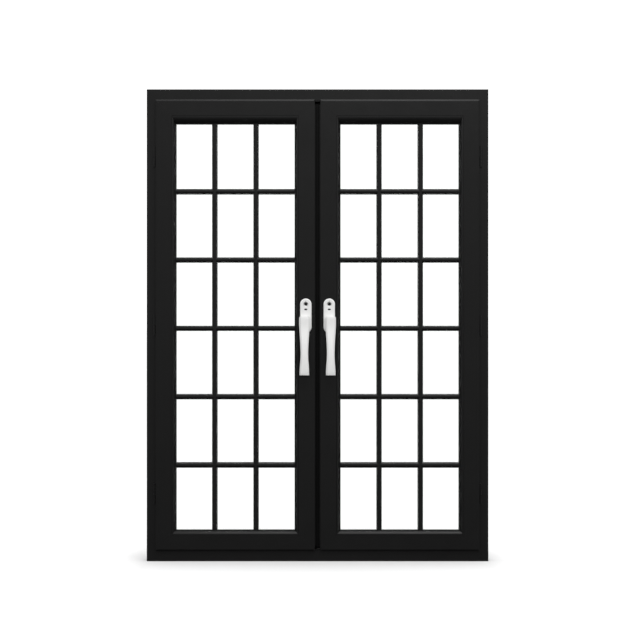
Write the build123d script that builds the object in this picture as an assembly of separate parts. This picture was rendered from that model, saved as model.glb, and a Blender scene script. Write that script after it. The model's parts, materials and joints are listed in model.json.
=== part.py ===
from build123d import *
from math import acos, cos, pi, radians, sin, sqrt, tan
import os

# French doors in their frame: two glazed leaves hung on barrel hinges in a mitred aluminium frame.
# Millimetres. X runs across the opening, +Z up, and the face that carries the handles looks towards -Y.
# The origin is the middle of the sill's underside, halfway through the frame's depth.

# Frame
WIDTH = 1520.0
HEIGHT = 2100.0
FRAME_DEPTH = 70.0
JAMB_SIGHT = 40.0            # frame left in view beside the leaves
HEAD_SIGHT = 47.0            # frame left in view above and below them
FRAME_WALL = 2.5
FRAME_WEB_Y = 4.0            # thermal break between the frame's two chambers
UPSTAND = 20.0               # stop that the leaf shuts against
UPSTAND_DEPTH = 16.0

# Leaf
LEAF_DEPTH = 70.0
LEAF_PROUD = 18.0            # leaf face in front of the frame face
LIP_LAP = 8.0                # leaf over frame
LEAF_GAP = 12.0              # air gap between leaf body and frame
SEAL_GAP = 2.0               # space that each seal closes
SEAL_SET = 1.0
LEAF_FACE = 72.0             # flat face of stiles and rails, up to the glazing bead
LEAF_WALL = 2.5
FACE_WALL = 3.0
EDGE_CHAMFER = 9.0           # bevel round the outer edge, seen from the front
EDGE_CHAMFER_DEPTH = 4.0
LEAF_WEB_Y = -33.0           # thermal break between the leaf's two chambers
MEETING_SPACE = 24.5         # groove between the two leaves' faces
MEETING_LIP_DEPTH = 25.0
MEETING_GAP = 18.0           # between the leading edges, which the meeting strip fills
MEETING_EDGE = 0.8
STRIP_CLEAR = 4.0            # meeting strip to the other leaf's leading edge
STRIP_RIB = 6.0
STRIP_RECESS = 18.0          # rib behind the leaf's face
STRIP_SHORT = 7.0            # strip's back in front of the leaf's back
STRIP_BEVEL = 2.5
MEET_SEAL = 3.4
MEET_SEAL_DEPTH = 8.0
MEET_SEAL_SET = 1.0
CHAMBER_SET = 3.0            # hollow of the leaf's front chamber, past the bevel
LEAF_CLEAT = 45.0            # arm of each corner cleat
FRAME_CLEAT = 60.0
CLEAT_CLEAR = 1.0

# Glazing
SIDE_BEAD = 18.0
TOP_BEAD = 37.5
BOTTOM_BEAD = 21.0
BEAD_QUIRK = 1.0
QUIRK_WIDTH = 1.2
QUIRK_DEPTH = 2.0
BEAD_DROP = 14.0
BEAD_CURVE = ((0.0, 0.0), (0.35, 0.07), (0.7, 0.4), (1.0, 1.0))  # shares of the curve's span and drop
BEAD_NOSE = 4.0
GLASS = 4.0
CAVITY = 20.0
GASKET = 3.0
FIN_DEPTH = 12.0
GLASS_EDGE = 4.0             # packer thickness round the glass
SPACER_WIDTH = 12.0
GASKET_WIDTH = 7.0
COLUMNS = 3
ROWS = 6
BAR_WIDTH = 24.0
CROSS_DROP = 5.5             # cross bars below even spacing, as in the photo
BAR_HEIGHT = 13.0
BAR_TOP = 10.0
BAR_FOOT = 2.5
PACKER_LENGTH = 100.0

# Hinges
HINGE_RADIUS = 5.0
HINGE_PIN_RADIUS = 3.0
HINGE_HEIGHTS = (300.0, 1050.0, 1800.0)
BARREL = 45.0
BARREL_GAP = 1.0
HINGE_CLEAR = 0.5            # barrel to leaf and frame
CAP_HEIGHT = 2.0
FIT = 0.05                   # running clearance on the radius

# Handles and locks
HANDLE_X = 52.0              # spindle from the middle of the doors
SPINDLE_Z = 1058.0
BASE_WIDTH = 50.5
BASE_THICK = 14.0
PLATE_EDGE = 3.0             # bevel round the plate's front
BASE_ABOVE = 110.5           # plate above and below the spindle
BASE_BELOW = 42.0
LOCK_ABOVE = 85.7
LOCK_RADIUS = 7.5
DISH_RADIUS = 10.5
DISH_DEPTH = 1.5
MARK_LENGTH = 3.5            # index mark above the dish
MARK_WIDTH = 2.4
KEYWAY_WIDTH = 2.2
KEYWAY_HEIGHT = 8.4
KEYWAY_DEPTH = 7.0
BUTTON_ABOVE = 62.5
BUTTON_WIDTH = 13.4
BUTTON_HEIGHT = 6.7
BUTTON_CLEAR = 0.3
BUTTON_SET = 1.0             # button's face below the plate's
BUTTON_SPACE = 6.0           # room behind it for its spring
CRANK = 6.2                  # lever set over towards the hinge side
NECK_RADIUS = 12.0
NECK_LAP = 3.0
SPINDLE = 7.0
SPINDLE_REACH = 25.0         # spindle in front of the leaf's face
LEVER_BACK = BASE_THICK + 1.0
SCREW_SPREAD = 43.0
SCREW_RADIUS = 2.5
# Lever stations: height from the spindle, half width, back and front distance from the leaf's face
LEVER_STATIONS = (
    (33.0, 23.4, LEVER_BACK, 33.0),
    (12.0, 23.4, LEVER_BACK, 35.0),
    (-22.0, 22.6, LEVER_BACK + 1.5, 36.5),
    (-48.0, 20.8, 22.0, 40.0),
    (-78.0, 18.9, 31.0, 44.5),
    (-121.0, 17.0, 36.0, 49.5),
    (-170.0, 18.2, 39.0, 52.5),
    (-216.0, 21.0, 40.0, 53.0),
    (-229.0, 21.4, 40.0, 52.0),
)
LEVER_BEVEL = 7.5
LEVER_BEVEL_DEPTH = 7.0
LEVER_CORNER = 13.0
LEVER_EDGE = 2.5

# Espagnolette
MODULE = 1.5
TEETH = 12
PRESSURE = 25.0
ADDENDUM = 0.8
DEDENDUM = 1.1
BACKLASH = 0.25
GEAR_THICK = 12.0
GEAR_Y = -20.5
JOURNAL_RADIUS = 7.0
HUB = 5.0                    # journal past each side of the pinion
FLANK_POINTS = 3
RACK_BACK = 4.0
RACK_TEETH = 8
CASE_WALL = 1.8
CASE_HEIGHT = 150.0
CASE_SPACE = 3.0             # each side of the pinion
SLIDE_CLEAR = 0.3
BOLT_RADIUS = 4.0
BOLT_LENGTH = 60.0
BOLT_LAP = 12.0              # bolt's root in the toothed rod
BOLT_SHORT = 0.5             # bolt drawn back from the leaf's edge
KEEP_WIDTH = 38.0
KEEP_DEPTH = 25.0
KEEP_THICK = 9.0
KEEP_EDGE = 2.0

# Fixing holes through the jambs
FIXING_RADIUS = 4.0
FIXING_Y = -14.0
FIXING_HEIGHTS = (200.0, 750.0, 1350.0, 1900.0)

# Places worked out from the sizes above
FRONT = -FRAME_DEPTH / 2                      # frame's front face
BACK = FRAME_DEPTH / 2
FACE = FRONT - LEAF_PROUD                     # leaf's front face
LEAF_BACK = FACE + LEAF_DEPTH
LIP = LIP_LAP + LEAF_GAP                      # lip past the leaf's body
LIP_BACK = FRONT - SEAL_GAP
JAMB_BASE = JAMB_SIGHT + LIP_LAP
HEAD_BASE = HEAD_SIGHT + LIP_LAP
LEAF_X = WIDTH / 2 - JAMB_SIGHT               # leaf's outer edge from the middle
LEAF_BOTTOM = HEAD_SIGHT
LEAF_TOP = HEIGHT - HEAD_SIGHT
MEET_X = MEETING_SPACE / 2                    # leaf's meeting edge from the middle
LEAD = (MEETING_SPACE - MEETING_GAP) / 2      # leading edge past the meeting edge
GLASS_BACK = LEAF_BACK - FIN_DEPTH - GASKET
GLASS_FRONT = GLASS_BACK - 2 * GLASS - CAVITY
BEAD_BACK = GLASS_FRONT - GASKET
PITCH_RADIUS = MODULE * TEETH / 2
THROW = PITCH_RADIUS * pi / 2                 # bolt travel for a quarter turn
BODY_TOP = LEAF_TOP - LIP
BODY_BOTTOM = LEAF_BOTTOM + LIP
HINGE_X = LEAF_X + HINGE_RADIUS + HINGE_CLEAR
HINGE_Y = FRONT - HINGE_RADIUS - HINGE_CLEAR
DEEP = 2 * (FRAME_DEPTH + LEAF_PROUD)         # past any piece, for cutting


def box(x0, x1, y0, y1, z0, z1):
    """A block between two corners."""
    size = (abs(x1 - x0), abs(y1 - y0), abs(z1 - z0))
    return Pos((x0 + x1) / 2, (y0 + y1) / 2, (z0 + z1) / 2) * Box(*size)


def rod(axis, radius, place, start, end):
    """A round bar along X, Y or Z, with place giving its other two coordinates."""
    turn = {"x": Rot(0, 90, 0), "y": Rot(-90, 0, 0), "z": Rot(0, 0, 0)}[axis]
    middle = (start + end) / 2
    a, b = place
    spot = {"x": (middle, a, b), "y": (a, middle, b), "z": (a, b, middle)}[axis]
    return Pos(*spot) * turn * Cylinder(radius, abs(end - start))


def ring(rect, width, y0, y1):
    """A flat rectangular ring, inside the rectangle (x0, x1, z0, z1)."""
    x0, x1, z0, z1 = rect
    hole = box(x0 + width, x1 - width, y0 - 1, y1 + 1, z0 + width, z1 - width)
    return box(x0, x1, y0, y1, z0, z1) - hole


def inset(rect, sides, top, bottom):
    x0, x1, z0, z1 = rect
    return (x0 + sides, x1 - sides, z0 + bottom, z1 - top)


def side_plane(rect, side):
    """The plane of a member's section: u inward from the rectangle's edge, then Y, run along the edge."""
    x0, x1, z0, z1 = rect
    planes = {
        "left": ((x0, 0, z0), (1, 0, 0), (0, 0, 1), z1 - z0),
        "right": ((x1, 0, z1), (-1, 0, 0), (0, 0, -1), z1 - z0),
        "top": ((x0, 0, z1), (0, 0, -1), (1, 0, 0), x1 - x0),
        "bottom": ((x1, 0, z0), (0, 0, 1), (-1, 0, 0), x1 - x0),
    }
    origin, inward, run, length = planes[side]
    return Plane(origin=origin, x_dir=inward, z_dir=run), length


def cut_line(us, slope, offset, floor):
    return [max(slope * u + offset, floor) for u in us]


def member(section, rect, side, reach, start=(1.0, 0.0), end=(1.0, 0.0), floor=-DEEP):
    """One side of a mitred rectangle. start and end give each mitre as slope and offset over u."""
    plane, length = side_plane(rect, side)
    low, high = reach
    us = [low, high] if floor < 0 else [low, -start[1] / start[0], high]
    first = list(zip(us, cut_line(us, *start, floor)))
    last = [(u, length - s) for u, s in zip(us, cut_line(us, *end, floor))]
    outline = Polyline(*[(u, s) for u, s in first + last[::-1]], close=True)
    trapezoid = extrude(make_face(outline), DEEP, both=True)
    # the trapezoid is drawn over u and the run, so it is laid into the section's own directions
    trapezoid = Rot(90, 0, 0) * trapezoid
    bar = Pos(0, 0, low - 1) * extrude(section, length - 2 * low + 2)
    return plane * (bar & trapezoid)


def face_of(points):
    return make_face(Polyline(*points, close=True))


def frame_section(base):
    """Box with a stop at its back, and two chambers either side of the thermal break."""
    t = FRAME_WALL
    outline = face_of([
        (0, FRONT), (base, FRONT), (base, BACK - UPSTAND_DEPTH),
        (base + UPSTAND, BACK - UPSTAND_DEPTH), (base + UPSTAND, BACK), (0, BACK),
    ])
    front = face_of([
        (t, FRONT + t), (base - t, FRONT + t), (base - t, FRAME_WEB_Y), (t, FRAME_WEB_Y),
    ])
    back = face_of([
        (t, FRAME_WEB_Y + t), (base - t, FRAME_WEB_Y + t), (base - t, BACK - UPSTAND_DEPTH + t),
        (base + UPSTAND - t, BACK - UPSTAND_DEPTH + t), (base + UPSTAND - t, BACK - t), (t, BACK - t),
    ])
    return outline - front - back


def leaf_section(front_u, body_u, lip_back, chamfer, chamfer_depth):
    """Stile or rail: lip, body with two chambers, and the fin behind the glass."""
    t = LEAF_WALL
    fin_front = LEAF_BACK - FIN_DEPTH
    outline = face_of([
        (0, FACE + chamfer_depth), (chamfer, FACE), (LEAF_FACE, FACE), (LEAF_FACE, fin_front),
        (LEAF_FACE + SIDE_BEAD, fin_front), (LEAF_FACE + SIDE_BEAD, LEAF_BACK),
        (body_u, LEAF_BACK), (body_u, lip_back), (0, lip_back),
    ])
    near = LIP + t
    front = face_of([
        (front_u, FACE + FACE_WALL), (LEAF_FACE - t, FACE + FACE_WALL), (LEAF_FACE - t, LEAF_WEB_Y - t),
        (near, LEAF_WEB_Y - t), (near, LIP_BACK - t), (front_u, LIP_BACK - t),
    ])
    main = face_of([
        (near, LEAF_WEB_Y), (LEAF_FACE - t, LEAF_WEB_Y), (LEAF_FACE - t, LEAF_BACK - t),
        (near, LEAF_BACK - t),
    ])
    return outline - front - main


def bead_section(width):
    """Ovolo glazing bead: a quirk beside the leaf's face, then a curve down to a nose beside the glass."""
    top = FACE + BEAD_QUIRK
    floor = top + QUIRK_DEPTH
    span = width - BEAD_NOSE - QUIRK_WIDTH
    curve = [(QUIRK_WIDTH + span * across, top + BEAD_DROP * down) for across, down in BEAD_CURVE]
    back = [(width, top + BEAD_DROP), (width, BEAD_BACK), (0, BEAD_BACK)]
    return face_of([(0, floor), (QUIRK_WIDTH, floor), *curve, *back])


def bar_section(glass_y, way):
    """Glazing bar on the glass: a short foot, shoulders of two flats and a flat top."""
    foot = glass_y + way * BAR_FOOT
    top = glass_y + way * BAR_HEIGHT
    half, flat = BAR_WIDTH / 2, BAR_TOP / 2
    mid_x, mid_y = flat + (half - flat) * cos(pi / 4), foot + (top - foot) * sin(pi / 4)
    right = [(half, glass_y), (half, foot), (mid_x, mid_y), (flat, top)]
    left = [(-x, y) for x, y in reversed(right)]
    return face_of(right + left)


# Rectangles as (x0, x1, z0, z1)
FRAME_RECT = (-WIDTH / 2, WIDTH / 2, 0.0, HEIGHT)
LEAF_RECT = (-LEAF_X, -MEET_X, LEAF_BOTTOM, LEAF_TOP)
REBATE = inset(LEAF_RECT, LEAF_FACE, LEAF_FACE, LEAF_FACE)
GLASS_RECT = inset(REBATE, GLASS_EDGE, GLASS_EDGE, GLASS_EDGE)
VIEW = inset(REBATE, SIDE_BEAD, TOP_BEAD, BOTTOM_BEAD)
BACK_VIEW = inset(REBATE, SIDE_BEAD, SIDE_BEAD, SIDE_BEAD)


def frame_members():
    extra = HEAD_BASE - JAMB_BASE
    across = frame_section(HEAD_BASE)
    upright = frame_section(JAMB_BASE)
    reach_h, reach_j = (0, HEAD_BASE + UPSTAND), (0, JAMB_BASE + UPSTAND)
    parts = {}
    for name, side in (("frame_head", "top"), ("frame_sill", "bottom")):
        cut = (1.0, -extra)
        parts[name] = member(across, FRAME_RECT, side, reach_h, cut, cut, floor=0.0)
    for name, side in (("frame_jamb_left", "left"), ("frame_jamb_right", "right")):
        cut = (1.0, extra)
        jamb = member(upright, FRAME_RECT, side, reach_j, cut, cut)
        for z in FIXING_HEIGHTS:
            jamb -= rod("x", FIXING_RADIUS, (FIXING_Y, z), -WIDTH, WIDTH)
        parts[name] = jamb
    for way in (-1, 1):
        for x, z, name in bolt_places(way):
            z0, z1 = z - 2 * FRAME_WALL, z + 2 * FRAME_WALL
            parts[name] -= rod("z", BOLT_RADIUS + SLIDE_CLEAR, (x, GEAR_Y), z0, z1)
    return parts


def bolt_places(way):
    """Centre of each shoot bolt on one leaf (way -1 left, 1 right), and the frame face that it enters."""
    reach = PITCH_RADIUS + DEDENDUM * MODULE + RACK_BACK / 2
    return (
        (way * (HANDLE_X + reach), HEIGHT - HEAD_BASE, "frame_head"),
        (way * (HANDLE_X - reach), HEAD_BASE, "frame_sill"),
    )


def corner_cleats(rect, u0, u1, y0, y1, arm, extra=0.0):
    """Angle blocks inside the chambers, one at each mitre."""
    x0, x1, z0, z1 = rect
    cleats = []
    for cx, sx in ((x0, 1), (x1, -1)):
        for cz, sz in ((z0, 1), (z1, -1)):
            v0, v1 = u0 + extra, u1 + extra
            leg_a = box(cx + sx * u0, cx + sx * u1, y0, y1, cz + sz * v0, cz + sz * (v1 + arm))
            leg_b = box(cx + sx * u0, cx + sx * (u1 + arm), y0, y1, cz + sz * v0, cz + sz * v1)
            cleats.append(leg_a + leg_b)
    return Compound(children=cleats)


def frame_seals():
    """Seal under the leaves' lip, and seal on the stop behind them."""
    thick = SEAL_GAP - SLIDE_CLEAR
    wide = LIP_LAP - 2 * SEAL_SET
    outer = inset(FRAME_RECT, JAMB_SIGHT + SEAL_SET, HEAD_SIGHT + SEAL_SET, HEAD_SIGHT + SEAL_SET)
    front = ring(outer, wide, FRONT - thick, FRONT)
    stop = BACK - UPSTAND_DEPTH
    into = LEAF_GAP + LIP_LAP + SEAL_SET
    inner = inset(FRAME_RECT, JAMB_SIGHT + into, HEAD_SIGHT + into, HEAD_SIGHT + into)
    return front, ring(inner, wide, stop - thick, stop)


def keeps():
    """Four bolt keeps, each a drilled block in the gap between frame and leaf."""
    blocks = []
    for way in (-1, 1):
        for x, z, name in bolt_places(way):
            down = -1 if name == "frame_head" else 1
            half = KEEP_WIDTH / 2
            y0, y1 = GEAR_Y - KEEP_DEPTH / 2, GEAR_Y + KEEP_DEPTH / 2
            block = box(x - half, x + half, y0, y1, z, z + down * KEEP_THICK)
            block = chamfer(block.edges().filter_by(Axis.Y), KEEP_EDGE)
            blocks.append(block - rod("z", BOLT_RADIUS + SLIDE_CLEAR, (x, GEAR_Y), z - DEEP, z + DEEP))
    return Compound(children=blocks)


def hinges_left():
    """Lift-off hinges of one leaf: frame barrel below, leaf barrel above, and a capped pin through both."""
    x, y, r = -HINGE_X, HINGE_Y, HINGE_RADIUS
    bore = HINGE_PIN_RADIUS + FIT
    on_frame, on_leaf, pins = [], [], []
    for height in HINGE_HEIGHTS:
        low, high = height - BARREL - BARREL_GAP / 2, height + BARREL_GAP / 2
        barrel = rod("z", r, (x, y), low, low + BARREL) + box(x - r, x + r, y, FRONT, low, low + BARREL)
        on_frame.append(barrel - rod("z", bore, (x, y), low - 1, low + BARREL + 1))
        top = high + BARREL
        stub = box(x, -LEAF_X, y - r / 2, y + r / 2, high, top)
        on_leaf.append(rod("z", r, (x, y), high, top) + stub - rod("z", bore, (x, y), high - 1, top + 1))
        cap = rod("z", r - HINGE_CLEAR, (x, y), top, top + CAP_HEIGHT)
        pins.append(rod("z", HINGE_PIN_RADIUS, (x, y), low, top) + cap)
    return Compound(children=on_frame), Compound(children=on_leaf), Compound(children=pins)


def leaf_members():
    hollow = EDGE_CHAMFER + CHAMBER_SET
    plain = leaf_section(hollow, LIP, LIP_BACK, EDGE_CHAMFER, EDGE_CHAMFER_DEPTH)
    leading = leaf_section(hollow, -LEAD, FACE + MEETING_LIP_DEPTH, MEETING_EDGE, MEETING_EDGE)
    reach = (0, LEAF_FACE + SIDE_BEAD)
    parts = {
        "hinge_stile": member(plain, LEAF_RECT, "left", reach),
        "meeting_stile": member(leading, LEAF_RECT, "right", (-LEAD, reach[1])),
        "top_rail": member(plain, LEAF_RECT, "top", reach),
        "bottom_rail": member(plain, LEAF_RECT, "bottom", reach),
    }
    stile = parts["meeting_stile"]
    # the leading edge stops short of the lip at both ends, clear of head and sill
    for z0, z1 in ((LEAF_BOTTOM - DEEP, BODY_BOTTOM), (BODY_TOP, LEAF_TOP + DEEP)):
        stile -= box(-MEET_X - LIP, DEEP, LIP_BACK, BACK, z0, z1)
    stile -= box(
        -MEET_X - LIP + LEAF_WALL, -MEET_X + LEAD - LEAF_WALL, FACE + MEETING_LIP_DEPTH + LEAF_WALL,
        LEAF_BACK - LEAF_WALL, BODY_BOTTOM + LEAF_WALL, BODY_TOP - LEAF_WALL)
    stile -= rod("y", SPINDLE, (-HANDLE_X, SPINDLE_Z), FACE - 1, LEAF_WEB_Y + 1)
    for z in screw_heights():
        stile -= rod("y", SCREW_RADIUS + FIT, (-HANDLE_X, z), FACE - 1, FACE + FACE_WALL + 1)
    parts["meeting_stile"] = stile
    for x, z, name in bolt_places(-1):
        rail = "top_rail" if name == "frame_head" else "bottom_rail"
        edge = BODY_TOP if name == "frame_head" else BODY_BOTTOM
        hole = rod("z", BOLT_RADIUS + SLIDE_CLEAR, (x, GEAR_Y), edge - 2 * LEAF_WALL, edge + 2 * LEAF_WALL)
        parts[rail] -= hole
    return parts


def screw_heights():
    return (SPINDLE_Z - SCREW_SPREAD / 2, SPINDLE_Z + SCREW_SPREAD / 2)


def beads():
    widths = {"left": SIDE_BEAD, "top": TOP_BEAD, "right": SIDE_BEAD, "bottom": BOTTOM_BEAD}
    order = ["left", "top", "right", "bottom"]
    pieces = []
    for i, side in enumerate(order):
        w = widths[side]
        after, before = widths[order[(i + 1) % 4]], widths[order[i - 1]]
        pieces.append(member(bead_section(w), REBATE, side, (0, w), (before / w, 0), (after / w, 0)))
    return Compound(children=pieces)


def glazing():
    x0, x1, z0, z1 = GLASS_RECT
    parts = {
        "glass_outer": box(x0, x1, GLASS_FRONT, GLASS_FRONT + GLASS, z0, z1),
        "glass_inner": box(x0, x1, GLASS_BACK - GLASS, GLASS_BACK, z0, z1),
        "glass_spacer": ring(GLASS_RECT, SPACER_WIDTH, GLASS_FRONT + GLASS, GLASS_BACK - GLASS),
        "glazing_beads": beads(),
    }
    around = inset(VIEW, -GASKET_WIDTH, -GASKET_WIDTH, -GASKET_WIDTH)
    behind = inset(BACK_VIEW, -GASKET_WIDTH, -GASKET_WIDTH, -GASKET_WIDTH)
    front = ring(around, GASKET_WIDTH, BEAD_BACK, GLASS_FRONT)
    back = ring(behind, GASKET_WIDTH, GLASS_BACK, GLASS_BACK + GASKET)
    parts["glazing_gaskets"] = Compound(children=[front, back])
    parts["glass_packers"] = packers()
    return parts


def packers():
    """Blocks that carry the glass in its rebate, two to a side."""
    x0, x1, z0, z1 = GLASS_RECT
    half = PACKER_LENGTH / 2
    blocks = []
    for part in (0.15, 0.85):
        x, z = x0 + part * (x1 - x0), z0 + part * (z1 - z0)
        for low in (z0 - GLASS_EDGE, z1):
            blocks.append(box(x - half, x + half, GLASS_FRONT, GLASS_BACK, low, low + GLASS_EDGE))
        for low in (x0 - GLASS_EDGE, x1):
            blocks.append(box(low, low + GLASS_EDGE, GLASS_FRONT, GLASS_BACK, z - half, z + half))
    return Compound(children=blocks)


def glazing_bars(rect, glass_y, way):
    """Bars on one face of the glass: uprights run through, and the cross bars are coped to them."""
    x0, x1, z0, z1 = rect
    vx0, vx1, vz0, vz1 = VIEW
    column = (vx1 - vx0 + BAR_WIDTH) / COLUMNS
    row = (vz1 - vz0 + BAR_WIDTH) / ROWS
    section = bar_section(glass_y, way)
    upright = Plane(origin=(0, 0, z0), x_dir=(1, 0, 0), z_dir=(0, 0, 1))
    across = Plane(origin=(x0, 0, 0), x_dir=(0, 0, -1), z_dir=(1, 0, 0))
    standing = extrude(upright * section, z1 - z0)
    lying = extrude(across * section, x1 - x0)
    uprights = [Pos(vx0 + k * column - BAR_WIDTH / 2, 0, 0) * standing for k in range(1, COLUMNS)]
    cross = []
    for k in range(1, ROWS):
        bar = Pos(0, 0, vz0 + k * row - BAR_WIDTH / 2 - CROSS_DROP) * lying
        for piece in uprights:
            bar -= piece
        cross += list(bar.solids())
    return Compound(children=uprights + cross)


def handle_base():
    """Plate with round ends, a dish for the lock, a slot for its button and a bore for the lever's neck."""
    top = SPINDLE_Z + BASE_ABOVE
    low = SPINDLE_Z - BASE_BELOW
    outline = SlotCenterToCenter(top - low - BASE_WIDTH, BASE_WIDTH, rotation=90)
    plane = Plane(origin=(-HANDLE_X, FACE, (top + low) / 2), x_dir=(1, 0, 0), z_dir=(0, -1, 0))
    plate = extrude(plane * outline, BASE_THICK)
    rim = plate.faces().sort_by(Axis.Y)[0].edges()
    plate = chamfer(rim, PLATE_EDGE)
    front = FACE - BASE_THICK
    lock_z, button_z = SPINDLE_Z + LOCK_ABOVE, SPINDLE_Z + BUTTON_ABOVE
    x = -HANDLE_X
    plate -= rod("y", NECK_RADIUS + FIT, (x, SPINDLE_Z), front - 1, FACE + 1)
    plate -= rod("y", LOCK_RADIUS + FIT, (x, lock_z), front - 1, FACE + 1)
    spot = Pos(x, front + DISH_DEPTH / 2, lock_z) * Rot(90, 0, 0)
    plate -= spot * Cone(LOCK_RADIUS + 1, DISH_RADIUS, DISH_DEPTH)
    mark_z = lock_z + DISH_RADIUS + MARK_WIDTH
    mark = Plane(origin=(x, front + DISH_DEPTH, mark_z), x_dir=(1, 0, 0), z_dir=(0, -1, 0))
    plate -= extrude(mark * SlotCenterToCenter(MARK_LENGTH, MARK_WIDTH, rotation=90), 2 * DISH_DEPTH)
    slot = Plane(origin=(x, FACE + 1, button_z), x_dir=(1, 0, 0), z_dir=(0, -1, 0))
    plate -= extrude(slot * SlotOverall(BUTTON_WIDTH, BUTTON_HEIGHT), BASE_THICK + 2)
    for z in screw_heights():
        plate -= rod("y", SCREW_RADIUS + FIT, (x, z), front - 1, FACE + 1)
        head = Pos(x, front + SCREW_RADIUS / 2, z) * Rot(90, 0, 0)
        plate -= head * Cone(SCREW_RADIUS + FIT, 2 * SCREW_RADIUS + FIT, SCREW_RADIUS)
    return plate


def handle_screws():
    front = FACE - BASE_THICK
    screws = []
    for z in screw_heights():
        shank = rod("y", SCREW_RADIUS, (-HANDLE_X, z), front + SCREW_RADIUS, FACE + 2 * FACE_WALL)
        head = Pos(-HANDLE_X, front + SCREW_RADIUS / 2, z) * Rot(90, 0, 0)
        screws.append(shank + head * Cone(SCREW_RADIUS, 2 * SCREW_RADIUS, SCREW_RADIUS))
    return Compound(children=screws)


def lock_cylinder():
    """Round plug with a keyway, flush with the bottom of the dish."""
    z = SPINDLE_Z + LOCK_ABOVE
    front = FACE - BASE_THICK + DISH_DEPTH
    plug = rod("y", LOCK_RADIUS, (-HANDLE_X, z), front, FACE)
    wide, high = KEYWAY_WIDTH / 2, KEYWAY_HEIGHT / 2
    return plug - box(-HANDLE_X - wide, -HANDLE_X + wide, front - 1, front + KEYWAY_DEPTH, z - high, z + high)


def lock_button():
    """Push button, set a little below the plate so that it reads as a slot."""
    back = FACE - BUTTON_SPACE
    slot = Plane(origin=(-HANDLE_X, back, SPINDLE_Z + BUTTON_ABOVE), x_dir=(1, 0, 0), z_dir=(0, -1, 0))
    shape = SlotOverall(BUTTON_WIDTH - 2 * BUTTON_CLEAR, BUTTON_HEIGHT - 2 * BUTTON_CLEAR)
    return extrude(slot * shape, BASE_THICK - BUTTON_SPACE - BUTTON_SET)


def lever_face(station):
    """The lever's cross-section at one height: flat back, bevelled long edges, flat front."""
    height, half, back, front = station
    flat = half - LEVER_BEVEL
    shoulder = front - LEVER_BEVEL_DEPTH
    edge = LEVER_EDGE
    points = [
        (-half + edge, -back), (half - edge, -back), (half, -back - edge), (half, -shoulder),
        (flat, -front), (-flat, -front), (-half, -shoulder), (-half, -back - edge),
    ]
    plane = Plane(origin=(-HANDLE_X - CRANK, FACE, SPINDLE_Z + height), x_dir=(1, 0, 0), z_dir=(0, 0, 1))
    return plane * face_of(points)


def lever():
    """Cranked lever that hangs down, with the neck that turns in the plate."""
    grip = loft([lever_face(s) for s in reversed(LEVER_STATIONS)])
    top, half = LEVER_STATIONS[0][:2]
    low = LEVER_STATIONS[-1][0]
    outline = RectangleRounded(2 * half + 2, top - low, LEVER_CORNER)
    mask_plane = Plane(
        origin=(-HANDLE_X - CRANK, FACE, SPINDLE_Z + (top + low) / 2), x_dir=(1, 0, 0), z_dir=(0, -1, 0))
    mask = extrude(mask_plane * outline, DEEP)
    square = box(
        -HANDLE_X - CRANK - half - 2, -HANDLE_X - CRANK + half + 2, FACE - DEEP, FACE,
        SPINDLE_Z + low, SPINDLE_Z)
    grip = grip & (mask + square)
    neck = rod("y", NECK_RADIUS, (-HANDLE_X, SPINDLE_Z), FACE - SLIDE_CLEAR, FACE - LEVER_BACK - NECK_LAP)
    hole = box(*spindle_span(SPINDLE / 2 + FIT), FACE - SPINDLE_REACH, FACE, *spindle_rise(SPINDLE / 2 + FIT))
    return grip + neck - hole


def spindle_span(half):
    return -HANDLE_X - half, -HANDLE_X + half


def spindle_rise(half):
    return SPINDLE_Z - half, SPINDLE_Z + half


def spindle():
    half = SPINDLE / 2
    front, back = FACE - SPINDLE_REACH + SLIDE_CLEAR, GEAR_Y + GEAR_THICK / 2 + HUB
    return box(*spindle_span(half), front, back, *spindle_rise(half))


def involute_point(base, radius, turn):
    """A point on an involute of the base circle, turned about the centre."""
    roll = sqrt((radius / base) ** 2 - 1)
    angle = roll - acos(base / radius) + turn
    return radius * cos(angle), radius * sin(angle)


def pinion():
    """Pinion on a round journal with a square hole for the spindle."""
    base = PITCH_RADIUS * cos(radians(PRESSURE))
    tip = PITCH_RADIUS + ADDENDUM * MODULE
    root = PITCH_RADIUS - DEDENDUM * MODULE
    thick = pi * MODULE / 2 - BACKLASH
    to_pitch = tan(radians(PRESSURE)) - radians(PRESSURE)
    half = thick / (2 * PITCH_RADIUS) + to_pitch
    steps = [base + (tip - base) * k / (FLANK_POINTS - 1) for k in range(FLANK_POINTS)]
    flank = [involute_point(base, r, -half) for r in steps]
    other = [(x, -y) for x, y in reversed(flank)]
    start = (root * 0.9 * cos(half), -root * 0.9 * sin(half))
    tooth = face_of([start, *flank, *other, (start[0], -start[1])])
    plane = Plane(origin=(-HANDLE_X, GEAR_Y, SPINDLE_Z), x_dir=(1, 0, 0), z_dir=(0, -1, 0))
    wheel = Circle(root)
    for k in range(TEETH):
        wheel += Rot(0, 0, 360 / TEETH * k) * tooth
    gear = extrude(plane * wheel, GEAR_THICK / 2, both=True)
    ends = GEAR_THICK / 2 + HUB
    gear += rod("y", JOURNAL_RADIUS, (-HANDLE_X, SPINDLE_Z), GEAR_Y - ends, GEAR_Y + ends)
    return gear - box(*spindle_span(SPINDLE / 2 + FIT), FACE, BACK, *spindle_rise(SPINDLE / 2 + FIT))


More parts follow.
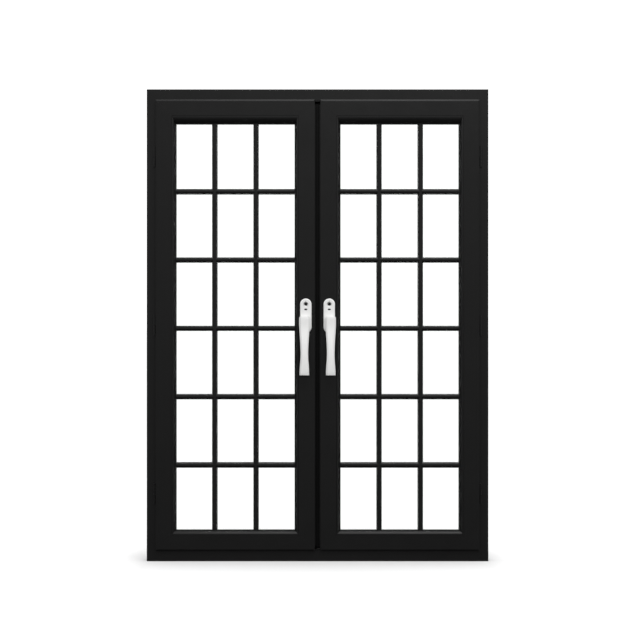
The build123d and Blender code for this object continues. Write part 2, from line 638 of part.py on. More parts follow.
def rack_rod(way):
    """Toothed rod and shoot bolt: way -1 is the upper one, past the spindle, and 1 the lower one."""
    pitch = pi * MODULE
    up, down = ADDENDUM * MODULE, DEDENDUM * MODULE
    lean = tan(radians(PRESSURE))
    half = (pitch / 2 - BACKLASH) / 2
    line = -HANDLE_X + way * PITCH_RADIUS
    root = line + way * down
    outer = root + way * RACK_BACK
    rise = -way
    reach = pitch * (RACK_TEETH / 2)
    start = SPINDLE_Z - rise * (reach + THROW / 2)
    tip = (BODY_TOP if rise > 0 else BODY_BOTTOM) - rise * BOLT_SHORT
    y0, y1 = GEAR_Y - GEAR_THICK / 2, GEAR_Y + GEAR_THICK / 2
    strip = box(min(root, outer), max(root, outer), y0, y1, start, tip - rise * (BOLT_LENGTH - BOLT_LAP))
    sunk = root + way * RACK_BACK / 4
    teeth = []
    plane = Plane(origin=(0, GEAR_Y, 0), x_dir=(1, 0, 0), z_dir=(0, -1, 0))
    for k in range(RACK_TEETH):
        z = SPINDLE_Z - rise * pitch * (k - 2 + 0.5)
        points = [
            (sunk, z - half - down * lean), (root, z - half - down * lean),
            (line - way * up, z - half + up * lean), (line - way * up, z + half - up * lean),
            (root, z + half + down * lean), (sunk, z + half + down * lean),
        ]
        teeth.append(extrude(plane * face_of(points), GEAR_THICK / 2, both=True))
    bolt = rod("z", BOLT_RADIUS, ((root + outer) / 2, GEAR_Y), tip - rise * BOLT_LENGTH, tip)
    body = strip + bolt
    for tooth in teeth:
        body += tooth
    return body


def gearbox_case():
    """Open-ended case, seated on the thermal break, that carries the pinion's journals."""
    side = PITCH_RADIUS + DEDENDUM * MODULE + RACK_BACK + SLIDE_CLEAR
    inner = GEAR_THICK / 2 + CASE_SPACE
    y0, y1 = LEAF_WEB_Y, GEAR_Y + (GEAR_Y - LEAF_WEB_Y)
    z0, z1 = SPINDLE_Z - CASE_HEIGHT / 2, SPINDLE_Z + CASE_HEIGHT / 2
    out = side + CASE_WALL
    shell = box(-HANDLE_X - out, -HANDLE_X + out, y0, y1, z0, z1)
    shell -= box(-HANDLE_X - side, -HANDLE_X + side, GEAR_Y - inner, GEAR_Y + inner, z0 - 1, z1 + 1)
    return shell - rod("y", JOURNAL_RADIUS + FIT, (-HANDLE_X, SPINDLE_Z), y0 - 1, y1 + 1)


def meeting_strip():
    """Strip on the left leaf's leading edge: it fills the gap and shows as a rib in the groove."""
    t = LEAF_WALL
    body_front = FACE + MEETING_LIP_DEPTH
    back = LEAF_BACK - STRIP_SHORT
    left, right = -MEETING_GAP / 2, MEETING_GAP / 2 - STRIP_CLEAR
    # the free side leans back, because the strip's rear corner swings towards the other leaf at first
    outline = [
        (-STRIP_RIB, FACE + STRIP_RECESS), (right, FACE + STRIP_RECESS), (right, body_front),
        (right - STRIP_BEVEL, back), (left, back), (left, body_front), (-STRIP_RIB, body_front),
    ]
    plane = Plane(origin=(0, 0, BODY_BOTTOM), x_dir=(1, 0, 0), z_dir=(0, 0, 1))
    strip = extrude(plane * face_of(outline), BODY_TOP - BODY_BOTTOM)
    hollow = box(
        left + t, right - STRIP_BEVEL - t, body_front + t, back - t, BODY_BOTTOM + t, BODY_TOP - t)
    return strip - hollow


def meeting_seal():
    """Soft strip on the right leaf's leading edge, just clear of the meeting strip."""
    right = MEETING_GAP / 2
    front = FACE + MEETING_LIP_DEPTH + MEET_SEAL_SET
    return box(right - MEET_SEAL, right, front, front + MEET_SEAL_DEPTH, BODY_BOTTOM, BODY_TOP)


def leaf_left():
    parts = leaf_members()
    parts["corner_cleats"] = corner_cleats(
        LEAF_RECT, LIP + LEAF_WALL + CLEAT_CLEAR, LEAF_FACE - LEAF_WALL, FACE + FACE_WALL,
        LEAF_WEB_Y - LEAF_WALL, LEAF_CLEAT)
    parts.update(glazing())
    parts["bars_front"] = glazing_bars(VIEW, GLASS_FRONT, -1)
    parts["bars_back"] = glazing_bars(BACK_VIEW, GLASS_BACK, 1)
    parts["handle_plate"] = handle_base()
    parts["handle_screws"] = handle_screws()
    parts["lock_cylinder"] = lock_cylinder()
    parts["lock_button"] = lock_button()
    parts["lever"] = lever()
    parts["spindle"] = spindle()
    parts["pinion"] = pinion()
    parts["gearbox_case"] = gearbox_case()
    parts["upper_bolt_rod"] = rack_rod(-1)
    parts["lower_bolt_rod"] = rack_rod(1)
    return parts


def build():
    parts = frame_members()
    parts["frame_cleats"] = corner_cleats(
        FRAME_RECT, FRAME_WALL, JAMB_BASE - FRAME_WALL, FRONT + FRAME_WALL, FRAME_WEB_Y, FRAME_CLEAT,
        extra=HEAD_BASE - JAMB_BASE)
    parts["frame_seal_front"], parts["frame_seal_back"] = frame_seals()
    parts["bolt_keeps"] = keeps()
    on_frame, on_leaf, pins = hinges_left()
    mirrored = [mirror(c, about=Plane.YZ) for c in (on_frame, pins)]
    parts["hinge_frame_barrels"] = Compound(children=list(on_frame.solids()) + list(mirrored[0].solids()))
    parts["hinge_pins"] = Compound(children=list(pins.solids()) + list(mirrored[1].solids()))
    left = leaf_left()
    left["hinge_leaf_barrels"] = on_leaf
    for name, shape in left.items():
        parts[f"{name}_left"] = shape
        parts[f"{name}_right"] = mirror(shape, about=Plane.YZ)
    parts["meeting_strip"] = meeting_strip()
    parts["meeting_seal"] = meeting_seal()
    return parts


def main():
    os.makedirs("parts", exist_ok=True)
    for name, shape in build().items():
        export_step(shape, f"parts/{name}.step")


main()
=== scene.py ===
import json
from math import cos, pi, radians, sin

import bmesh
import bpy
from mathutils import Matrix, Vector


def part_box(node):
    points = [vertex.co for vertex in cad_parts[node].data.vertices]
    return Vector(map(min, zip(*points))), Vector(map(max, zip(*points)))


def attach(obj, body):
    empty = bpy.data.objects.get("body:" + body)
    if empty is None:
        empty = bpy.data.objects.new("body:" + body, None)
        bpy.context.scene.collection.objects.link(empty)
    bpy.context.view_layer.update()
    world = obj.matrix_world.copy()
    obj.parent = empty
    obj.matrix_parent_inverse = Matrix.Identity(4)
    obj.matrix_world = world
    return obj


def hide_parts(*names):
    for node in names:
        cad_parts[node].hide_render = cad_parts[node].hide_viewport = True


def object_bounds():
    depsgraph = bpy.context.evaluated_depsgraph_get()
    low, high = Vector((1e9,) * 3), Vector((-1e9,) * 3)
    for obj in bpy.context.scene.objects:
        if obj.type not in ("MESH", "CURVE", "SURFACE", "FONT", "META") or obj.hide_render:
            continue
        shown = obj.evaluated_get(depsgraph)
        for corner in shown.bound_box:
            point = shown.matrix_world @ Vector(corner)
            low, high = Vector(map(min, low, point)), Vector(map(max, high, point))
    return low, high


# Looks for a pair of black french doors in their frame. Metres, in the frame's own axes: X runs
# across the doors, +Z up, and the side that carries the handles looks towards -Y.

bl_info = {
    "name": "French Doors",
    "version": (1, 0, 0),
    "blender": (4, 5, 0),
    "location": "View3D > Sidebar > Doors",
    "description": "Finishes glazed doors in their frame, and sets them in a plain studio",
    "category": "Object",
}

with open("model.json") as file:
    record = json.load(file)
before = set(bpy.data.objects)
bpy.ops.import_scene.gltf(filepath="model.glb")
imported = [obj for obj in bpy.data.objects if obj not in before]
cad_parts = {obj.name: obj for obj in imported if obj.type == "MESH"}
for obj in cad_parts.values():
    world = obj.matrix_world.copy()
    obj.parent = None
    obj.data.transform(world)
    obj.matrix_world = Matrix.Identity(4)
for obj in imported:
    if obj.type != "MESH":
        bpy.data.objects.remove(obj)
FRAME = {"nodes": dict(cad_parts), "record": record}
CAD_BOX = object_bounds()
NODES = FRAME["nodes"]
SIDES = ("left", "right")
MADE = {}    # finishes made so far, by name

# Gasket's lip: places across the beads' nose and rises from it, both as shares of the nose's width.
LIP_PROFILE = ((0.04, 0.0), (0.10, 0.14), (0.50, 0.22), (0.90, 0.14), (0.96, 0.0))
# Rim of the lock: radii, and rises from the front of the plug. Its last ring meets the dish.
DISH_DEPTH = 0.0015
RIM_PROFILE = ((0.0079, 0.0), (0.0099, 0.0016), (0.0107, 0.00185), (0.0112, 0.0017),
               (0.0112, DISH_DEPTH - 0.0004))
# Index mark: an upright slot above the lock, with round ends.
MARK_ABOVE_LOCK = 0.0129
MARK_RADIUS = 0.0011
MARK_HALF_STRAIGHT = 0.0005
MARK_BACK, MARK_FRONT = 0.0001, DISH_DEPTH - 0.0003
ROUND_STEPS = 32

SENSOR_MM = 36.0
FLOOR_REACH = 200.0


class Value:
    """One output of a shader node. Arithmetic on it adds Math nodes to the same tree."""

    def __init__(self, finish, socket):
        self.finish = finish
        self.socket = socket

    def _math(self, operation, *terms):
        values = dict(enumerate(terms))
        return self.finish.node("ShaderNodeMath", {"operation": operation}, values)

    def __add__(self, other):
        return self._math("ADD", self, other)

    def __radd__(self, other):
        return self._math("ADD", other, self)

    def __sub__(self, other):
        return self._math("SUBTRACT", self, other)

    def __rsub__(self, other):
        return self._math("SUBTRACT", other, self)

    def __mul__(self, other):
        return self._math("MULTIPLY", self, other)

    def __rmul__(self, other):
        return self._math("MULTIPLY", other, self)

    def size(self):
        return self._math("ABSOLUTE", self)

    def floored(self, low=0.0):
        return self._math("MAXIMUM", self, low)


class Nodes:
    """A node tree in the making."""

    def __init__(self, tree):
        self.tree = tree

    def feed(self, socket, value):
        if isinstance(value, Value):
            self.tree.links.new(value.socket, socket)
        else:
            socket.default_value = value

    def node(self, kind, settings=None, values=None, output=0):
        """Adds a node: its settings come first, then the values or links of its sockets."""
        node = self.tree.nodes.new(kind)
        for key, setting in (settings or {}).items():
            setattr(node, key, setting)
        for key, value in (values or {}).items():
            self.feed(node.inputs[key], value)
        return Value(self, node.outputs[output])

    def part(self, vector, axis):
        """The X, Y or Z of a vector."""
        return self.node("ShaderNodeSeparateXYZ", None, {0: vector}, output=axis)

    def spread(self, value, low, high, first=0.0, last=1.0, ease="LINEAR"):
        """The value's stretch from low to high, taken to first to last and held beyond them."""
        settings = {"clamp": True, "interpolation_type": ease}
        values = {
            "Value": value, "From Min": low, "From Max": high, "To Min": first, "To Max": last}
        return self.node("ShaderNodeMapRange", settings, values)


class Finish(Nodes):
    """A material in the making: a principled shader and the nodes that feed it."""

    def __init__(self, name):
        self.material = bpy.data.materials.new(name)
        MADE[name] = self.material
        self.material.use_nodes = True
        super().__init__(self.material.node_tree)
        self.tree.nodes.clear()
        self.shader = self.tree.nodes.new("ShaderNodeBsdfPrincipled")
        output = self.tree.nodes.new("ShaderNodeOutputMaterial")
        self.tree.links.new(self.shader.outputs[0], output.inputs[0])

    def place(self):
        """Where a point is on its own piece, in metres."""
        return self.node("ShaderNodeTexCoord", output="Object")

    def stretched(self, scale):
        """The place, with each axis scaled, for grain that runs one way."""
        values = {0: self.place(), 1: scale}
        return self.node("ShaderNodeVectorMath", {"operation": "MULTIPLY"}, values)

    def noise(self, scale, detail=2.0, rough=0.5, place=None):
        values = {
            "Vector": place or self.place(), "Scale": scale, "Detail": detail, "Roughness": rough}
        return self.node("ShaderNodeTexNoise", None, values, output="Fac")

    def facing(self, axis):
        """How far the surface faces along an axis, from -1 to 1."""
        normal = self.node("ShaderNodeNewGeometry", output="Normal")
        settings = {"operation": "DOT_PRODUCT"}
        return self.node("ShaderNodeVectorMath", settings, {0: normal, 1: axis}, output="Value")

    def mix(self, factor, first, second):
        settings = {"data_type": "RGBA", "blend_type": "MIX", "clamp_factor": True}
        return self.node("ShaderNodeMix", settings, {0: factor, 6: first, 7: second}, output=2)

    def bump(self, height, distance, strength=1.0):
        values = {"Height": height, "Distance": distance, "Strength": strength}
        self.feed(self.shader.inputs["Normal"], self.node("ShaderNodeBump", None, values))

    def set(self, **values):
        """Sets the shader's sockets, named with underscores for spaces."""
        for key, value in values.items():
            self.feed(self.shader.inputs[key.replace("_", " ")], value)
        return self.material


class World(Nodes):
    """The surroundings in the making."""

    def __init__(self, name):
        self.world = bpy.data.worlds.new(name)
        self.world.use_nodes = True
        super().__init__(self.world.node_tree)
        self.light = self.tree.nodes["Background"]


def new_piece(name, shape, material, body, slot, *stands_for):
    """Makes an object of a bmesh, and says what it rides on and what it stands for."""
    mesh = bpy.data.meshes.new(name)
    shape.to_mesh(mesh)
    shape.free()
    mesh.materials.append(material)
    piece = bpy.data.objects.new(name, mesh)
    bpy.context.collection.objects.link(piece)
    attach(piece, body)
    if stands_for:
        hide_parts(*stands_for)
    return piece


def brush_seal(reach):
    """Carrier and tufts on the right leaf's edge, long enough to touch the meeting strip."""
    carrier, pitch, rows = 0.0016, 0.004, 3
    low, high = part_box("meeting_seal")
    tip, root = low.x - reach, high.x - carrier
    spacing = (high.y - low.y) / (rows + 1)
    half_tuft = spacing * 0.42
    count = int((high.z - low.z) / pitch)
    shape = bmesh.new()
    add_box(shape, (root, low.y, low.z), high)
    for row in range(rows):
        middle = low.y + spacing * (row + 1)
        for k in range(count):
            z = low.z + pitch * (k + 0.5 * (row % 2))
            add_box(shape, (tip, middle - half_tuft, z), (root, middle + half_tuft, z + pitch))
    rubber = MADE["black_rubber"]
    new_piece("brush_seal", shape, rubber, "leaf_right", "black_rubber", "meeting_seal")


def join_rings(shape, rings, smooth=False):
    """Adds the faces between each ring of vertices and the next."""
    for ring, following in zip(rings, rings[1:]):
        for k in range(len(ring)):
            j = (k + 1) % len(ring)
            face = shape.faces.new((ring[k], ring[j], following[j], following[k]))
            face.smooth = smooth


def turns_of(offset=0.0):
    """Angles of the corners of a round ring."""
    return [2 * pi * (k + offset) / ROUND_STEPS for k in range(ROUND_STEPS)]


def sight_line(side, nose, drop):
    """Lip of the glazing gasket, a thin black line on the beads' nose all round the glass."""
    low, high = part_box(f"bars_front_{side}")
    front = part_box(f"glazing_beads_{side}")[0].y + drop
    shape = bmesh.new()
    rings = []
    for across, rise in LIP_PROFILE:
        out, y = across * nose, front - rise * nose
        corners = ((low.x - out, low.z - out), (high.x + out, low.z - out),
                   (high.x + out, high.z + out), (low.x - out, high.z + out))
        rings.append([shape.verts.new((x, y, z)) for x, z in corners])
    join_rings(shape, rings + rings[:1])
    bmesh.ops.recalc_face_normals(shape, faces=shape.faces)
    new_piece(f"sight_line_{side}", shape, MADE["black_rubber"], f"leaf_{side}", "black_rubber")


def lock_rim(side, material):
    """Dished rim round the lock, with its cone down to the plug and a low flange on the plate."""
    low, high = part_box(f"lock_cylinder_{side}")
    middle = (low + high) / 2
    shape = bmesh.new()
    rings = []
    for radius, rise in RIM_PROFILE:
        y = low.y - rise
        rings.append([
            shape.verts.new((middle.x + radius * cos(turn), y, middle.z + radius * sin(turn)))
            for turn in turns_of()])
    join_rings(shape, rings, smooth=True)
    bmesh.ops.recalc_face_normals(shape, faces=shape.faces)
    new_piece(f"lock_rim_{side}", shape, material, f"leaf_{side}", "lock_metal")


def index_mark(side, material):
    """Near-black filling of the plate's index mark, just below its surface: painted shade in the
    mark's slot.
    """
    low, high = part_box(f"lock_cylinder_{side}")
    middle = (low + high) / 2
    up = middle.z + MARK_ABOVE_LOCK
    shape = bmesh.new()
    rings = []
    for rise in (MARK_BACK, MARK_FRONT):
        ring = []
        for turn in turns_of(0.5):
            end = up + (MARK_HALF_STRAIGHT if turn < pi else -MARK_HALF_STRAIGHT)
            corner = (middle.x + MARK_RADIUS * cos(turn), low.y - rise,
                      end + MARK_RADIUS * sin(turn))
            ring.append(shape.verts.new(corner))
        rings.append(ring)
    join_rings(shape, rings)
    for ring in reversed(rings):
        shape.faces.new(ring)
    bmesh.ops.recalc_face_normals(shape, faces=shape.faces)
    new_piece(f"index_mark_{side}", shape, material, f"leaf_{side}", "lock_metal")


def add_box(shape, low, high):
    """Adds a block between two corners to a bmesh."""
    size = Vector(high) - Vector(low)
    middle = (Vector(high) + Vector(low)) / 2
    placing = Matrix.Translation(middle) @ Matrix.Diagonal((*size, 1.0))
    bmesh.ops.create_cube(shape, size=1.0, matrix=placing)


def rgba(tone):
    """A grey or a colour, as the four numbers that a colour socket takes."""
    if isinstance(tone, (int, float)):
        return (tone, tone, tone, 1.0)
    return (*tuple(tone)[:3], 1.0)


def shaded(tone, factor):
    """A colour made darker or lighter, as a colour socket takes it."""
    return rgba([channel * factor for channel in tuple(tone)[:3]])


def coat_finish(name, tone, roughness, mottle, sheen=0.185):
    """Baked powder coat: orange-peel skin, faint clouding, and some dust where it faces up."""
    dust_tone = rgba((0.10, 0.097, 0.094))
    f = Finish(name)
    skin = f.noise(1100.0, detail=2.0)
    clouds = f.spread(f.noise(9.0, detail=5.0, rough=0.62), 0.32, 0.68)
    specks = f.spread(f.noise(420.0, detail=1.0), 0.62, 0.74)
    level = f.spread(f.facing((0.0, 0.0, 1.0)), 0.55, 1.0)
    dust = level * f.spread(f.noise(60.0, detail=4.0), 0.35, 0.7)
    base = f.mix(clouds, shaded(tone, 1.0 - mottle), shaded(tone, 1.0 + mottle))
    dusty = f.mix(dust * 0.12 + specks * 0.02, base, dust_tone)
    f.bump(skin, distance=0.00006, strength=0.5)
    rough = roughness + 0.10 * (clouds - 0.5) + 0.08 * dust
    return f.set(Base_Color=dusty, Roughness=rough, Specular_IOR_Level=sheen)


def glass_finish():
    """Clear float glass with the least trace of smears."""
    f = Finish("clear_glass")
    streaks = f.noise(6.0, detail=4.0, rough=0.6, place=f.stretched((1.0, 1.0, 2.5)))
    smears = f.spread(streaks, 0.55, 0.8)
    return f.set(
        Base_Color=rgba((0.985, 0.995, 0.99)), Roughness=0.004 + 0.02 * smears, IOR=1.45,
        Transmission_Weight=1.0)


def rubber_finish():
    """Matt black rubber of the seals and gaskets, greyer in worn patches."""
    f = Finish("black_rubber")
    grain = f.noise(700.0, detail=3.0)
    worn = f.spread(f.noise(30.0, detail=4.0), 0.3, 0.7)
    f.bump(grain, distance=0.00008, strength=0.4)
    return f.set(
        Base_Color=f.mix(worn, rgba(0.004), rgba(0.010)), Roughness=0.62 + 0.18 * worn,
        Specular_IOR_Level=0.11)


def enamel_finish(tone, roughness):
    """White enamel on a cast handle: a thick gloss coat over a slightly uneven skin."""
    f = Finish("white_enamel")
    flow = f.noise(55.0, detail=3.0)
    skin = f.noise(900.0, detail=1.0)
    f.bump(flow * 0.8 + skin * 0.2, distance=0.00012, strength=0.25)
    uneven = f.spread(flow, 0.35, 0.65)
    return f.set(
        Base_Color=f.mix(uneven, shaded(tone, 0.985), rgba(tone)),
        Roughness=roughness + 0.06 * uneven, Coat_Weight=0.35, Coat_Roughness=0.12)


def metal_finish(name, tone, roughness, grain_scale, metallic=1.0, patina=0.25):
    """Plated or cast metal, with its drawing or casting grain and duller patches."""
    f = Finish(name)
    grain = f.noise(1.0, detail=3.0, rough=0.6, place=f.stretched(grain_scale))
    patches = f.spread(f.noise(70.0, detail=5.0, rough=0.6), 0.3, 0.72)
    f.bump(grain, distance=0.00004, strength=0.5)
    return f.set(
        Base_Color=f.mix(patches, shaded(tone, 1.0 - patina), rgba(tone)), Metallic=metallic,
        Roughness=roughness + 0.2 * (1.0 - patches) * grain)


def packer_finish():
    """Blue moulded plastic of the packers under the glass."""
    f = Finish("packer_plastic")
    flecks = f.spread(f.noise(260.0, detail=3.0), 0.4, 0.7)
    f.bump(flecks, distance=0.00005, strength=0.4)
    return f.set(
        Base_Color=f.mix(flecks, rgba((0.05, 0.16, 0.30)), rgba((0.07, 0.21, 0.38))),
        Roughness=0.45 + 0.1 * flecks)


def dress(material, *names):
    """Puts a material on CAD nodes."""
    for name in names:
        slots = NODES[name].data.materials
        if not slots:
            slots.append(material)
        for index in range(len(slots)):
            slots[index] = material


def on_both(*names):
    """The names of both leaves' pieces."""
    return [f"{name}_{side}" for name in names for side in SIDES]


def body_of(name):
    """The body that a CAD node rides on."""
    bodies = FRAME["record"]["behaviour"]["bodies"]
    return next(body for body, members in bodies.items() if name in members)


def eased(names, width, material, slot, sharp=28, keen=180):
    """Copies of CAD nodes that stand for them, with edges broken as on a painted part.

    Edges that turn by more than sharp degrees are broken, and those over keen degrees stay sharp.
    """
    same_place, flat = 0.000002, radians(0.5)
    for name in names:
        shape = bmesh.new()
        shape.from_mesh(NODES[name].data)
        bmesh.ops.remove_doubles(shape, verts=shape.verts, dist=same_place)
        bmesh.ops.dissolve_limit(shape, angle_limit=flat, verts=shape.verts, edges=shape.edges)
        turns = {e: e.calc_face_angle() for e in shape.edges if e.is_manifold}
        edges = [e for e, turn in turns.items() if radians(sharp) < turn < radians(keen)]
        for edge, turn in turns.items():
            edge.smooth = turn < radians(keen)
        bmesh.ops.bevel(
            shape, geom=edges, offset=width, offset_type="OFFSET", segments=2, profile=0.5,
            affect="EDGES", clamp_overlap=True)
        for face in shape.faces:
            face.smooth = True
        piece = new_piece(f"{name}_eased", shape, material, body_of(name), slot, name)
        piece.modifiers.new("weights", "WEIGHTED_NORMAL").weight = 100


class DoorsCoatSettings(bpy.types.PropertyGroup):
    """Coats of the frame, leaves, beads and bars."""

    black: bpy.props.FloatVectorProperty(
        name="Black", description="Colour of the frame and leaves", subtype="COLOR", size=3,
        default=(0.0032, 0.0032, 0.0032))
    bar_black: bpy.props.FloatVectorProperty(
        name="Bar black", description="Colour of the glazing bars", subtype="COLOR", size=3,
        default=(0.0035, 0.0035, 0.0035))
    roughness: bpy.props.FloatProperty(
        name="Roughness", description="Roughness of the coat", default=0.36, min=0.0, max=1.0,
        subtype="FACTOR")
    mottle: bpy.props.FloatProperty(
        name="Mottling", description="How far the coat's tone clouds", default=0.14, min=0.0,
        max=1.0, subtype="FACTOR")
    edge: bpy.props.FloatProperty(
        name="Edge", description="Width of the eased edges", default=0.0003, min=0.0, max=0.005,
        unit="LENGTH")
    bead_nose: bpy.props.FloatProperty(
        name="Bead nose", description="Flat on the beads beside the glass", default=0.004,
        min=0.001, max=0.01, unit="LENGTH")
    bead_drop: bpy.props.FloatProperty(
        name="Bead drop", description="Beads' nose behind their front", default=0.014, min=0.0,
        max=0.03, unit="LENGTH")
    brush_reach: bpy.props.FloatProperty(
        name="Brush reach", description="Tufts of the seal between the leaves, past its solid",
        default=0.00061, min=0.0, max=0.002, unit="LENGTH")


class DoorsHandleSettings(bpy.types.PropertyGroup):
    """Enamel and metal of the handles."""

    white: bpy.props.FloatVectorProperty(
        name="White", description="Colour of the enamel", subtype="COLOR", size=3,
        default=(0.725, 0.725, 0.718))
    roughness: bpy.props.FloatProperty(
        name="Roughness", description="Roughness of the enamel", default=0.30, min=0.0, max=1.0,
        subtype="FACTOR")
    edge: bpy.props.FloatProperty(
        name="Edge", description="Width of the eased edges", default=0.0007, min=0.0, max=0.005,
        unit="LENGTH")


class DoorsStageSettings(bpy.types.PropertyGroup):
    """Floor, light and camera."""

    distance: bpy.props.FloatProperty(
        name="Distance", description="Camera to the front of the frame", default=9.0,
        unit="LENGTH")
    across: bpy.props.FloatProperty(
        name="Across", description="Camera beside the middle of the doors", default=0.0109,
        unit="LENGTH")
    height: bpy.props.FloatProperty(
        name="Height", description="Camera above the floor", default=1.0735, unit="LENGTH")
    picture: bpy.props.FloatProperty(
        name="Picture", description="Width in view at the front of the frame", default=2.848,
        unit="LENGTH")
    sky: bpy.props.FloatProperty(
        name="Surroundings", description="Brightness of the white surroundings", default=1.18,
        min=0.0)
    front: bpy.props.FloatProperty(
        name="Front", description="Brightness before the doors, as a share of that behind them",
        default=0.86, min=0.0, max=1.0, subtype="FACTOR")
    lamp: bpy.props.FloatProperty(
        name="Lamp", description="Power of the soft lamp above", default=122.0, min=0.0,
        unit="POWER")


class DOORS_OT_frame(bpy.types.Operator):
    """Coats the head, sill and jambs, and finishes what is inside them"""

    bl_idname = "doors.frame"
    bl_label = "Frame"

    def execute(self, context):
        coat = context.scene.doors_coat
        black = coat_finish("black_coat", coat.black, coat.roughness, coat.mottle)
        members = ("frame_head", "frame_sill", "frame_jamb_left", "frame_jamb_right")
        eased(members, coat.edge, black, "black_coat")
        dress(rubber_finish(), "frame_seal_front", "frame_seal_back")
        cast = metal_finish("cast_cleat", (0.55, 0.55, 0.56), 0.45, (500.0, 500.0, 500.0))
        dress(cast, "frame_cleats", *on_both("corner_cleats"))
        return {"FINISHED"}


class DOORS_OT_leaves(bpy.types.Operator):
    """Coats the stiles and rails, the meeting strip (darkened as painted shade in its groove) and
    its seal
    """

    bl_idname = "doors.leaves"
    bl_label = "Leaves"

    def execute(self, context):
        coat = context.scene.doors_coat
        members = on_both("hinge_stile", "meeting_stile", "top_rail", "bottom_rail")
        eased(members, coat.edge, MADE["black_coat"], "black_coat")
        # The meeting strip takes the black at half its tone and with little sheen: painted shade
        # for the strip recessed in the groove between the leaves.
        painted_shade_black = [tone * 0.5 for tone in coat.black]
        groove_painted_shade = coat_finish("black_coat_painted_groove_shade", painted_shade_black, 0.6, coat.mottle, sheen=0.08)
        eased(["meeting_strip"], coat.edge, groove_painted_shade, "black_coat")
        brush_seal(coat.brush_reach)
        return {"FINISHED"}


class DOORS_OT_glazing(bpy.types.Operator):
    """Finishes the glass, its beads and bars, and the spacer, gaskets and packers round it"""

    bl_idname = "doors.glazing"
    bl_label = "Glazing"

    def execute(self, context):
        coat = context.scene.doors_coat
        bead = coat_finish(
            "black_bead", coat.black, coat.roughness + 0.08, coat.mottle, sheen=0.215)
        bar = coat_finish("black_bar", coat.bar_black, coat.roughness - 0.06, coat.mottle)
        eased(on_both("glazing_beads"), coat.edge, bead, "black_bead", sharp=35, keen=60)
        eased(on_both("bars_front", "bars_back"), coat.edge, bar, "black_bar", sharp=40)
        dress(glass_finish(), *on_both("glass_outer", "glass_inner"))
        spacer = metal_finish("spacer_bar", (0.30, 0.30, 0.31), 0.38, (900.0, 900.0, 900.0))
        dress(spacer, *on_both("glass_spacer"))
        dress(MADE["black_rubber"], *on_both("glazing_gaskets"))
        for side in SIDES:
            sight_line(side, coat.bead_nose, coat.bead_drop)
        dress(packer_finish(), *on_both("glass_packers"))
        return {"FINISHED"}


class DOORS_OT_hinges(bpy.types.Operator):
    """Coats the hinges, and plates the bolts, their gear and the handles' screws"""

    bl_idname = "doors.hinges"
    bl_label = "Hinges"

    def execute(self, context):
        coat = context.scene.doors_coat
        glossy = coat_finish("hinge_coat", coat.black, coat.roughness - 0.1, coat.mottle)
        dress(glossy, "hinge_frame_barrels", "hinge_pins", *on_both("hinge_leaf_barrels"))
        zinc = metal_finish("zinc_steel", (0.62, 0.62, 0.60), 0.32, (300.0, 300.0, 1500.0))
        dress(zinc, "bolt_keeps", *on_both(
            "spindle", "pinion", "gearbox_case", "upper_bolt_rod", "lower_bolt_rod",
            "handle_screws"))
        return {"FINISHED"}


class DOORS_OT_handles(bpy.types.Operator):
    """Enamels the handle plates and levers, and finishes the locks and buttons"""

    bl_idname = "doors.handles"
    bl_label = "Handles"

    def execute(self, context):
        handle = context.scene.doors_handle
        enamel = enamel_finish(handle.white, handle.roughness)
        eased(on_both("handle_plate", "lever"), handle.edge, enamel, "white_enamel")
        grain = (700.0, 700.0, 700.0)
        # Near-black lock plug and button: partly their own dark finish, partly painted shade for
        # the depth of the keyway and the button's slot.
        dark_and_painted_shade = metal_finish("lock_metal", (0.006, 0.006, 0.006), 0.6, grain, metallic=0.3)
        dress(dark_and_painted_shade, *on_both("lock_cylinder", "lock_button"))
        satin = metal_finish("satin_rim", (0.62, 0.62, 0.61), 0.38, grain, patina=0.15)
        for side in SIDES:
            lock_rim(side, satin)
            # The index mark's filling takes the same near-black, as painted shade in its slot.
            index_mark(side, dark_and_painted_shade)
        return {"FINISHED"}


class DOORS_OT_stage(bpy.types.Operator):
    """Adds the floor, the light and the camera"""

    bl_idname = "doors.stage"
    bl_label = "Stage"

    def execute(self, context):
        stage = context.scene.doors_stage
        context.scene.view_settings.view_transform = "Standard"
        floor_piece()
        surround(stage.sky, stage.front)
        lamp("lamp_above", place=(0.5, -2.0, 4.3), target=(0.0, 0.0, 1.2), size=3.0,
             power=stage.lamp)
        camera(stage)
        return {"FINISHED"}


def floor_piece():
    """A pale floor that glows, less so round the foot of the doors: a painted contact shadow."""
    far = FLOOR_REACH
    corners = [(-far, -far, 0), (far, -far, 0), (far, far, 0), (-far, far, 0)]
    mesh = bpy.data.meshes.new("floor")
    mesh.from_pydata(corners, [], [(0, 1, 2, 3)])
    floor = bpy.data.objects.new("floor", mesh)
    bpy.context.collection.objects.link(floor)
    floor.visible_diffuse = False
    floor.visible_glossy = False
    f = Finish("floor_white")
    grain = f.noise(220.0, detail=3.0)
    # The floor's emission lifts it to white and fades towards the doors' foot, which paints a
    # contact shadow there.
    beside = (f.part(f.place(), "X").size() - CAD_BOX[1].x).floored()
    away = beside * 3.0 + f.part(f.place(), "Y").size()
    painted_shadow_fade = f.spread(away, 0.06, 0.75)
    white = f.set(
        Base_Color=f.mix(grain, rgba(0.50), rgba(0.52)), Roughness=0.75, Specular_IOR_Level=0.1,
        Emission_Color=f.mix(painted_shadow_fade, rgba(0.19), rgba(0.50)), Emission_Strength=1.0)
    white.cycles.emission_sampling = "NONE"
    mesh.materials.append(white)
    return floor


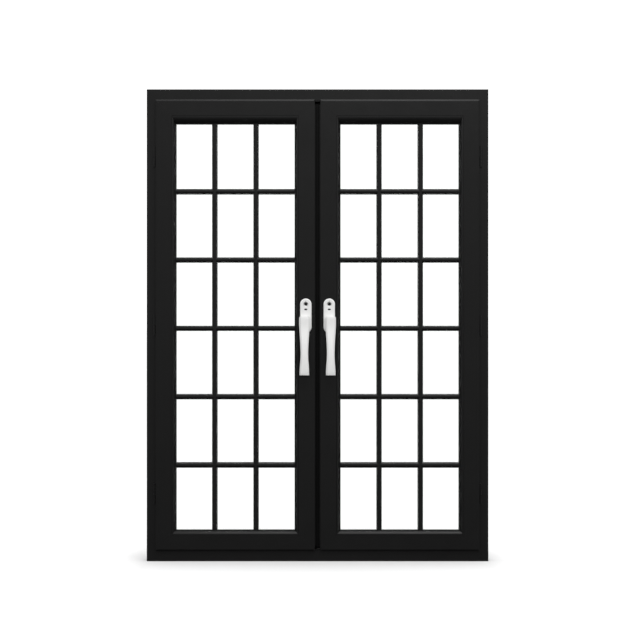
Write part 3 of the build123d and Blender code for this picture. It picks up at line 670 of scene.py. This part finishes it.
def surround(strength, front):
    """A white room, dimmer before the doors, and dark under the floor so that none shines up."""
    w = World("surroundings")
    direction = w.node("ShaderNodeTexCoord", output="Generated")
    behind = w.spread(w.part(direction, "Y"), -0.55, 0.0, front, 1.0, ease="SMOOTHSTEP")
    above = w.spread(w.part(direction, "Z"), -0.15, -0.02, 0.1, 1.0, ease="SMOOTHSTEP")
    w.feed(w.light.inputs["Strength"], behind * above * strength)
    w.light.inputs["Color"].default_value = rgba(1.0)
    bpy.context.scene.world = w.world


def aimed(place, target):
    """A placement at a point, looking at another."""
    look = Vector(target) - Vector(place)
    return Matrix.Translation(place) @ look.to_track_quat("-Z", "Y").to_matrix().to_4x4()


def lamp(name, place, target, size, power):
    """A round soft lamp."""
    light = bpy.data.lights.new(name, "AREA")
    light.shape = "DISK"
    light.size = size
    light.energy = power
    piece = bpy.data.objects.new(name, light)
    piece.matrix_world = aimed(place, target)
    bpy.context.collection.objects.link(piece)


def camera(stage):
    """A camera square to the doors, placed and framed as the settings say."""
    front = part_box("frame_head")[0].y
    lens = bpy.data.cameras.new("camera")
    lens.sensor_width = SENSOR_MM
    lens.lens = SENSOR_MM * stage.distance / stage.picture
    lens.clip_end = 500.0
    piece = bpy.data.objects.new("camera", lens)
    place = (stage.across, front - stage.distance, stage.height)
    piece.matrix_world = aimed(place, (stage.across, 0.0, stage.height))
    bpy.context.collection.objects.link(piece)
    bpy.context.scene.camera = piece


class DOORS_PT_panel(bpy.types.Panel):
    """Lists the steps that finish the doors"""

    bl_label = "French Doors"
    bl_idname = "DOORS_PT_panel"
    bl_space_type = "VIEW_3D"
    bl_region_type = "UI"
    bl_category = "Doors"

    def draw(self, context):
        for name in SETTINGS:
            group = getattr(context.scene, name)
            box = self.layout.box()
            for key in group.__annotations__:
                box.prop(group, key)
        for step in STEPS:
            self.layout.operator(step.bl_idname)


SETTINGS = {
    "doors_coat": DoorsCoatSettings,
    "doors_handle": DoorsHandleSettings,
    "doors_stage": DoorsStageSettings,
}
STEPS = (
    DOORS_OT_frame, DOORS_OT_leaves, DOORS_OT_glazing, DOORS_OT_hinges, DOORS_OT_handles,
    DOORS_OT_stage,
)


def register():
    for item in (*SETTINGS.values(), *STEPS, DOORS_PT_panel):
        bpy.utils.register_class(item)
    for name, group in SETTINGS.items():
        setattr(bpy.types.Scene, name, bpy.props.PointerProperty(type=group))


def unregister():
    for name in SETTINGS:
        delattr(bpy.types.Scene, name)
    for item in reversed((*SETTINGS.values(), *STEPS, DOORS_PT_panel)):
        bpy.utils.unregister_class(item)


def main():
    register()
    for step in STEPS:
        group, name = step.bl_idname.split(".")
        getattr(getattr(bpy.ops, group), name)()


if __name__ == "__main__":
    main()
